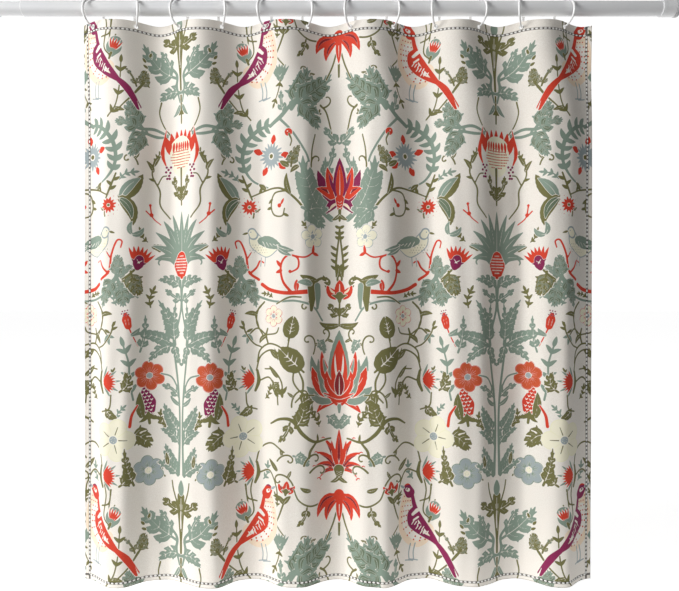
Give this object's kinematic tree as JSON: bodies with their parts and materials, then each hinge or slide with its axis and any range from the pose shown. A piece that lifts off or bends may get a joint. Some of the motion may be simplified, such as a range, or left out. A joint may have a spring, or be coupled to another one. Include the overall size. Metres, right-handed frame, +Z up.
{
  "type": "shower curtain",
  "caption": "Printed fabric shower curtain with eyelets, hung in waves from snap rings on a telescoping tension rod.",
  "frame": {"origin": "middle of the wall face of the right rubber pad, on the axis of the rod", "axes": "+X along the rod towards the right wall, +Y to the back of the curtain, +Z up"},
  "size_m": [2.294, 0.0843, 1.9025],
  "materials": {
    "printed_fabric": "matte woven polyester, printed",
    "white_plastic": "glossy",
    "eyelet_plastic": "satin",
    "rod_enamel": "glossy white enamel",
    "wall_rubber": "matte",
    "grey_plastic": "matte",
    "zinc_steel": "zinc plated"
  },
  "bodies": {
    "rod": {"rod_outer_tube": "rod_enamel", "mouth_bush": "grey_plastic", "right_pad": "wall_rubber", "right_cap": "white_plastic", "right_collar": "white_plastic"},
    "rod_lock": {"lock_nut": "grey_plastic"},
    "inner_rod": {"rod_inner_tube": "rod_enamel", "lock_plug": "grey_plastic", "lock_screw": "zinc_steel", "lock_spring": "zinc_steel", "left_pad": "wall_rubber", "left_cap": "white_plastic", "left_collar": "white_plastic"},
    "ring_01": {"ring_01": "white_plastic"},
    "fold_01": {"cloth_01": "printed_fabric", "eyelet_01": "eyelet_plastic"},
    "ring_02": {"ring_02": "white_plastic"},
    "fold_02": {"cloth_02": "printed_fabric", "eyelet_02": "eyelet_plastic"},
    "ring_03": {"ring_03": "white_plastic"},
    "fold_03": {"cloth_03": "printed_fabric", "eyelet_03": "eyelet_plastic"},
    "ring_04": {"ring_04": "white_plastic"},
    "fold_04": {"cloth_04": "printed_fabric", "eyelet_04": "eyelet_plastic"},
    "ring_05": {"ring_05": "white_plastic"},
    "fold_05": {"cloth_05": "printed_fabric", "eyelet_05": "eyelet_plastic"},
    "ring_06": {"ring_06": "white_plastic"},
    "fold_06": {"cloth_06": "printed_fabric", "eyelet_06": "eyelet_plastic"},
    "ring_07": {"ring_07": "white_plastic"},
    "fold_07": {"cloth_07": "printed_fabric", "eyelet_07": "eyelet_plastic"},
    "ring_08": {"ring_08": "white_plastic"},
    "fold_08": {"cloth_08": "printed_fabric", "eyelet_08": "eyelet_plastic"},
    "ring_09": {"ring_09": "white_plastic"},
    "fold_09": {"cloth_09": "printed_fabric", "eyelet_09": "eyelet_plastic"},
    "ring_10": {"ring_10": "white_plastic"},
    "fold_10": {"cloth_10": "printed_fabric", "eyelet_10": "eyelet_plastic"},
    "ring_11": {"ring_11": "white_plastic"},
    "fold_11": {"cloth_11": "printed_fabric", "eyelet_11": "eyelet_plastic"},
    "ring_12": {"ring_12": "white_plastic"},
    "fold_12": {"cloth_12": "printed_fabric", "eyelet_12": "eyelet_plastic"}
  },
  "joints": [
    {"name": "tube_length", "type": "slide", "parent": "rod", "child": "rod_lock", "axis": [-1, 0, 0], "range_m": [-0.075, 0.38]},
    {"name": "tube_twist", "type": "hinge", "parent": "rod_lock", "child": "inner_rod", "pos_m": [-1.56, 0, 0], "axis": [1, 0, 0], "range_deg": [-180, 180]},
    {"name": "curtain_travel", "type": "slide", "parent": "rod", "child": "ring_01", "axis": [1, 0, 0], "range_m": [-0.15, 0.15]},
    {"name": "curtain_draw", "type": "hinge", "parent": "ring_01", "child": "fold_01", "pos_m": [-1.9217, 0, 0], "axis": [0, 0, -1], "range_deg": [-10, 42]},
    {"name": "fold_02_turn", "type": "hinge", "parent": "fold_01", "child": "fold_02", "pos_m": [-1.85135, -0.029, 0], "axis": [0, 0, -1], "range_deg": [-84, 20]},
    {"name": "ring_02_turn", "type": "hinge", "parent": "fold_02", "child": "ring_02", "pos_m": [-1.781, 0, 0], "axis": [0, 0, -1], "range_deg": [-10, 42]},
    {"name": "fold_03_turn", "type": "hinge", "parent": "fold_02", "child": "fold_03", "pos_m": [-1.71065, 0.029, 0], "axis": [0, 0, -1], "range_deg": [-20, 84]},
    {"name": "ring_03_turn", "type": "hinge", "parent": "fold_03", "child": "ring_03", "pos_m": [-1.6403, 0, 0], "axis": [0, 0, -1], "range_deg": [-42, 10]},
    {"name": "fold_04_turn", "type": "hinge", "parent": "fold_03", "child": "fold_04", "pos_m": [-1.56995, -0.029, 0], "axis": [0, 0, -1], "range_deg": [-84, 20]},
    {"name": "ring_04_turn", "type": "hinge", "parent": "fold_04", "child": "ring_04", "pos_m": [-1.4996, 0, 0], "axis": [0, 0, -1], "range_deg": [-10, 42]},
    {"name": "fold_05_turn", "type": "hinge", "parent": "fold_04", "child": "fold_05", "pos_m": [-1.42925, 0.029, 0], "axis": [0, 0, -1], "range_deg": [-20, 84]},
    {"name": "ring_05_turn", "type": "hinge", "parent": "fold_05", "child": "ring_05", "pos_m": [-1.3589, 0, 0], "axis": [0, 0, -1], "range_deg": [-42, 10]},
    {"name": "fold_06_turn", "type": "hinge", "parent": "fold_05", "child": "fold_06", "pos_m": [-1.28855, -0.029, 0], "axis": [0, 0, -1], "range_deg": [-84, 20]},
    {"name": "ring_06_turn", "type": "hinge", "parent": "fold_06", "child": "ring_06", "pos_m": [-1.2182, 0, 0], "axis": [0, 0, -1], "range_deg": [-10, 42]},
    {"name": "fold_07_turn", "type": "hinge", "parent": "fold_06", "child": "fold_07", "pos_m": [-1.14785, 0.029, 0], "axis": [0, 0, -1], "range_deg": [-20, 84]},
    {"name": "ring_07_turn", "type": "hinge", "parent": "fold_07", "child": "ring_07", "pos_m": [-1.0775, 0, 0], "axis": [0, 0, -1], "range_deg": [-42, 10]},
    {"name": "fold_08_turn", "type": "hinge", "parent": "fold_07", "child": "fold_08", "pos_m": [-1.00715, -0.029, 0], "axis": [0, 0, -1], "range_deg": [-84, 20]},
    {"name": "ring_08_turn", "type": "hinge", "parent": "fold_08", "child": "ring_08", "pos_m": [-0.9368, 0, 0], "axis": [0, 0, -1], "range_deg": [-10, 42]},
    {"name": "fold_09_turn", "type": "hinge", "parent": "fold_08", "child": "fold_09", "pos_m": [-0.86645, 0.029, 0], "axis": [0, 0, -1], "range_deg": [-20, 84]},
    {"name": "ring_09_turn", "type": "hinge", "parent": "fold_09", "child": "ring_09", "pos_m": [-0.7961, 0, 0], "axis": [0, 0, -1], "range_deg": [-42, 10]},
    {"name": "fold_10_turn", "type": "hinge", "parent": "fold_09", "child": "fold_10", "pos_m": [-0.72575, -0.029, 0], "axis": [0, 0, -1], "range_deg": [-84, 20]},
    {"name": "ring_10_turn", "type": "hinge", "parent": "fold_10", "child": "ring_10", "pos_m": [-0.6554, 0, 0], "axis": [0, 0, -1], "range_deg": [-10, 42]},
    {"name": "fold_11_turn", "type": "hinge", "parent": "fold_10", "child": "fold_11", "pos_m": [-0.58505, 0.029, 0], "axis": [0, 0, -1], "range_deg": [-20, 84]},
    {"name": "ring_11_turn", "type": "hinge", "parent": "fold_11", "child": "ring_11", "pos_m": [-0.5147, 0, 0], "axis": [0, 0, -1], "range_deg": [-42, 10]},
    {"name": "fold_12_turn", "type": "hinge", "parent": "fold_11", "child": "fold_12", "pos_m": [-0.44435, -0.029, 0], "axis": [0, 0, -1], "range_deg": [-84, 20]},
    {"name": "ring_12_turn", "type": "hinge", "parent": "fold_12", "child": "ring_12", "pos_m": [-0.374, 0, 0], "axis": [0, 0, -1], "range_deg": [-10, 42]}
  ],
  "couplings": [
    {"joint": "fold_02_turn", "follows": "curtain_draw", "ratio": -2},
    {"joint": "ring_02_turn", "follows": "curtain_draw", "ratio": 1},
    {"joint": "fold_03_turn", "follows": "curtain_draw", "ratio": 2},
    {"joint": "ring_03_turn", "follows": "curtain_draw", "ratio": -1},
    {"joint": "fold_04_turn", "follows": "curtain_draw", "ratio": -2},
    {"joint": "ring_04_turn", "follows": "curtain_draw", "ratio": 1},
    {"joint": "fold_05_turn", "follows": "curtain_draw", "ratio": 2},
    {"joint": "ring_05_turn", "follows": "curtain_draw", "ratio": -1},
    {"joint": "fold_06_turn", "follows": "curtain_draw", "ratio": -2},
    {"joint": "ring_06_turn", "follows": "curtain_draw", "ratio": 1},
    {"joint": "fold_07_turn", "follows": "curtain_draw", "ratio": 2},
    {"joint": "ring_07_turn", "follows": "curtain_draw", "ratio": -1},
    {"joint": "fold_08_turn", "follows": "curtain_draw", "ratio": -2},
    {"joint": "ring_08_turn", "follows": "curtain_draw", "ratio": 1},
    {"joint": "fold_09_turn", "follows": "curtain_draw", "ratio": 2},
    {"joint": "ring_09_turn", "follows": "curtain_draw", "ratio": -1},
    {"joint": "fold_10_turn", "follows": "curtain_draw", "ratio": -2},
    {"joint": "ring_10_turn", "follows": "curtain_draw", "ratio": 1},
    {"joint": "fold_11_turn", "follows": "curtain_draw", "ratio": 2},
    {"joint": "ring_11_turn", "follows": "curtain_draw", "ratio": -1},
    {"joint": "fold_12_turn", "follows": "curtain_draw", "ratio": -2},
    {"joint": "ring_12_turn", "follows": "curtain_draw", "ratio": 1}
  ]
}
